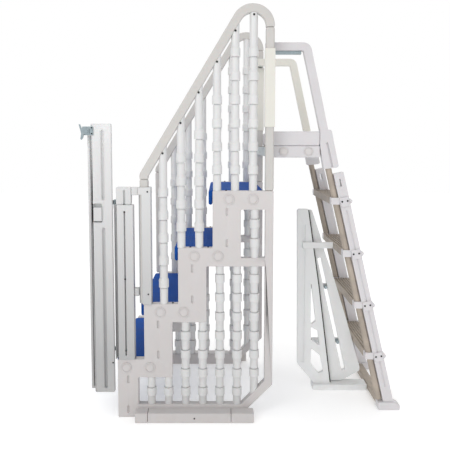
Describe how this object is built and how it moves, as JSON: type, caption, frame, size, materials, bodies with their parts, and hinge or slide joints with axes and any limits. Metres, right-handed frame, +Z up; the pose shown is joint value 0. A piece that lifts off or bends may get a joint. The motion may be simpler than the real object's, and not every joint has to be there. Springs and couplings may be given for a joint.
{
  "type": "pool ladder",
  "caption": "Above-ground pool entry: outside stairs with handrails and a side gate, and an inside ladder with a sliding barrier panel.",
  "frame": {"origin": "on the ground, under the middle of the whole assembly", "axes": "+Z up, +X from the gate towards the pool, Y across the treads"},
  "size_m": [1.5377, 0.806, 1.9498],
  "materials": {
    "frame_plastic": "satin moulded resin, warm white",
    "rail_plastic": "satin resin tube, warm white",
    "sleeve_plastic": "satin resin, cream",
    "baluster_plastic": "satin resin, cool white",
    "tread_blue": "grained resin, strong blue",
    "steel": "zinc plated steel",
    "gate_plastic": "satin resin, neutral white",
    "ladder_plastic": "satin resin, faint lavender white",
    "step_taupe": "ribbed resin, taupe",
    "barrier_plastic": "satin resin sheet, light grey",
    "black_rubber": "matt black",
    "screw_black": "black oxide"
  },
  "bodies": {
    "stairs": {"bolt_caps": "frame_plastic", "gate_post_inner": "gate_plastic", "gate_post_sleeve": "gate_plastic", "gate_rails": "gate_plastic", "grab_posts": "rail_plastic", "grip_sleeves": "sleeve_plastic", "ground_feet": "frame_plastic", "handrail_far": "rail_plastic", "handrail_near": "rail_plastic", "hinge_leaves_fixed": "steel", "hinge_pins": "steel", "ladder_handrail_far": "sleeve_plastic", "ladder_handrail_near": "ladder_plastic", "lower_balusters": "baluster_plastic", "newel_cover": "gate_plastic", "newels": "rail_plastic", "platform_bars": "steel", "platform_beam": "steel", "platform_curbs": "ladder_plastic", "platform_deck": "step_taupe", "platform_sides": "ladder_plastic", "rail_castings": "ladder_plastic", "rail_links": "steel", "side_frame_far": "frame_plastic", "side_frame_near": "frame_plastic", "stair_screws": "screw_black", "stair_tread_1": "tread_blue", "stair_tread_2": "tread_blue", "stair_tread_3": "tread_blue", "stair_tread_4": "tread_blue", "steel_strip": "steel", "tread_bars": "steel", "upper_balusters": "baluster_plastic"},
    "gate_leaf": {"gate_front_shell": "gate_plastic", "gate_rear_shell": "gate_plastic", "gate_leaf_screws": "screw_black", "latch_bracket": "steel", "latch_pins": "steel", "hinge_leaves_gate": "steel"},
    "lever": {"latch_lever": "gate_plastic"},
    "fork": {"latch_fork": "steel"},
    "ladder_lower": {"back_rails": "step_taupe", "barrier_bracket": "barrier_plastic", "barrier_foot_bar": "barrier_plastic", "barrier_panel_fixed": "barrier_plastic", "barrier_seal": "black_rubber", "base_bar": "step_taupe", "clamp_blocks": "ladder_plastic", "clamp_screws": "screw_black", "foot_pads": "ladder_plastic", "front_rail_far": "ladder_plastic", "front_rail_near": "ladder_plastic", "guide_pins": "steel", "guide_straps": "barrier_plastic", "ladder_step_1": "step_taupe", "ladder_step_2": "step_taupe", "ladder_step_3": "step_taupe", "ladder_step_4": "step_taupe", "tread_end_caps": "ladder_plastic"},
    "barrier_slider": {"barrier_panel_sliding": "barrier_plastic"}
  },
  "joints": [
    {"name": "gate_swing", "type": "hinge", "parent": "stairs", "child": "gate_leaf", "pos_m": [-0.62, -0.292, 0.654], "axis": [0, 0, 1], "range_deg": [-90, 0]},
    {"name": "lever_pull", "type": "hinge", "parent": "gate_leaf", "child": "lever", "pos_m": [-0.691, -0.34, 0.963], "axis": [1, 0, 0], "range_deg": [0, 25], "stiffness_Nm_per_rad": 0.6},
    {"name": "fork_lift", "type": "hinge", "parent": "gate_leaf", "child": "fork", "pos_m": [-0.732, -0.355, 1.368], "axis": [0, 1, 0], "range_deg": [0, 30]},
    {"name": "ladder_extend", "type": "slide", "parent": "stairs", "child": "ladder_lower", "axis": [0.2284, 0, -0.9736], "range_m": [0, 0.075]},
    {"name": "barrier_slide", "type": "slide", "parent": "ladder_lower", "child": "barrier_slider", "axis": [-0.2284, 0, 0.9736], "range_m": [0, 0.03]}
  ]
}
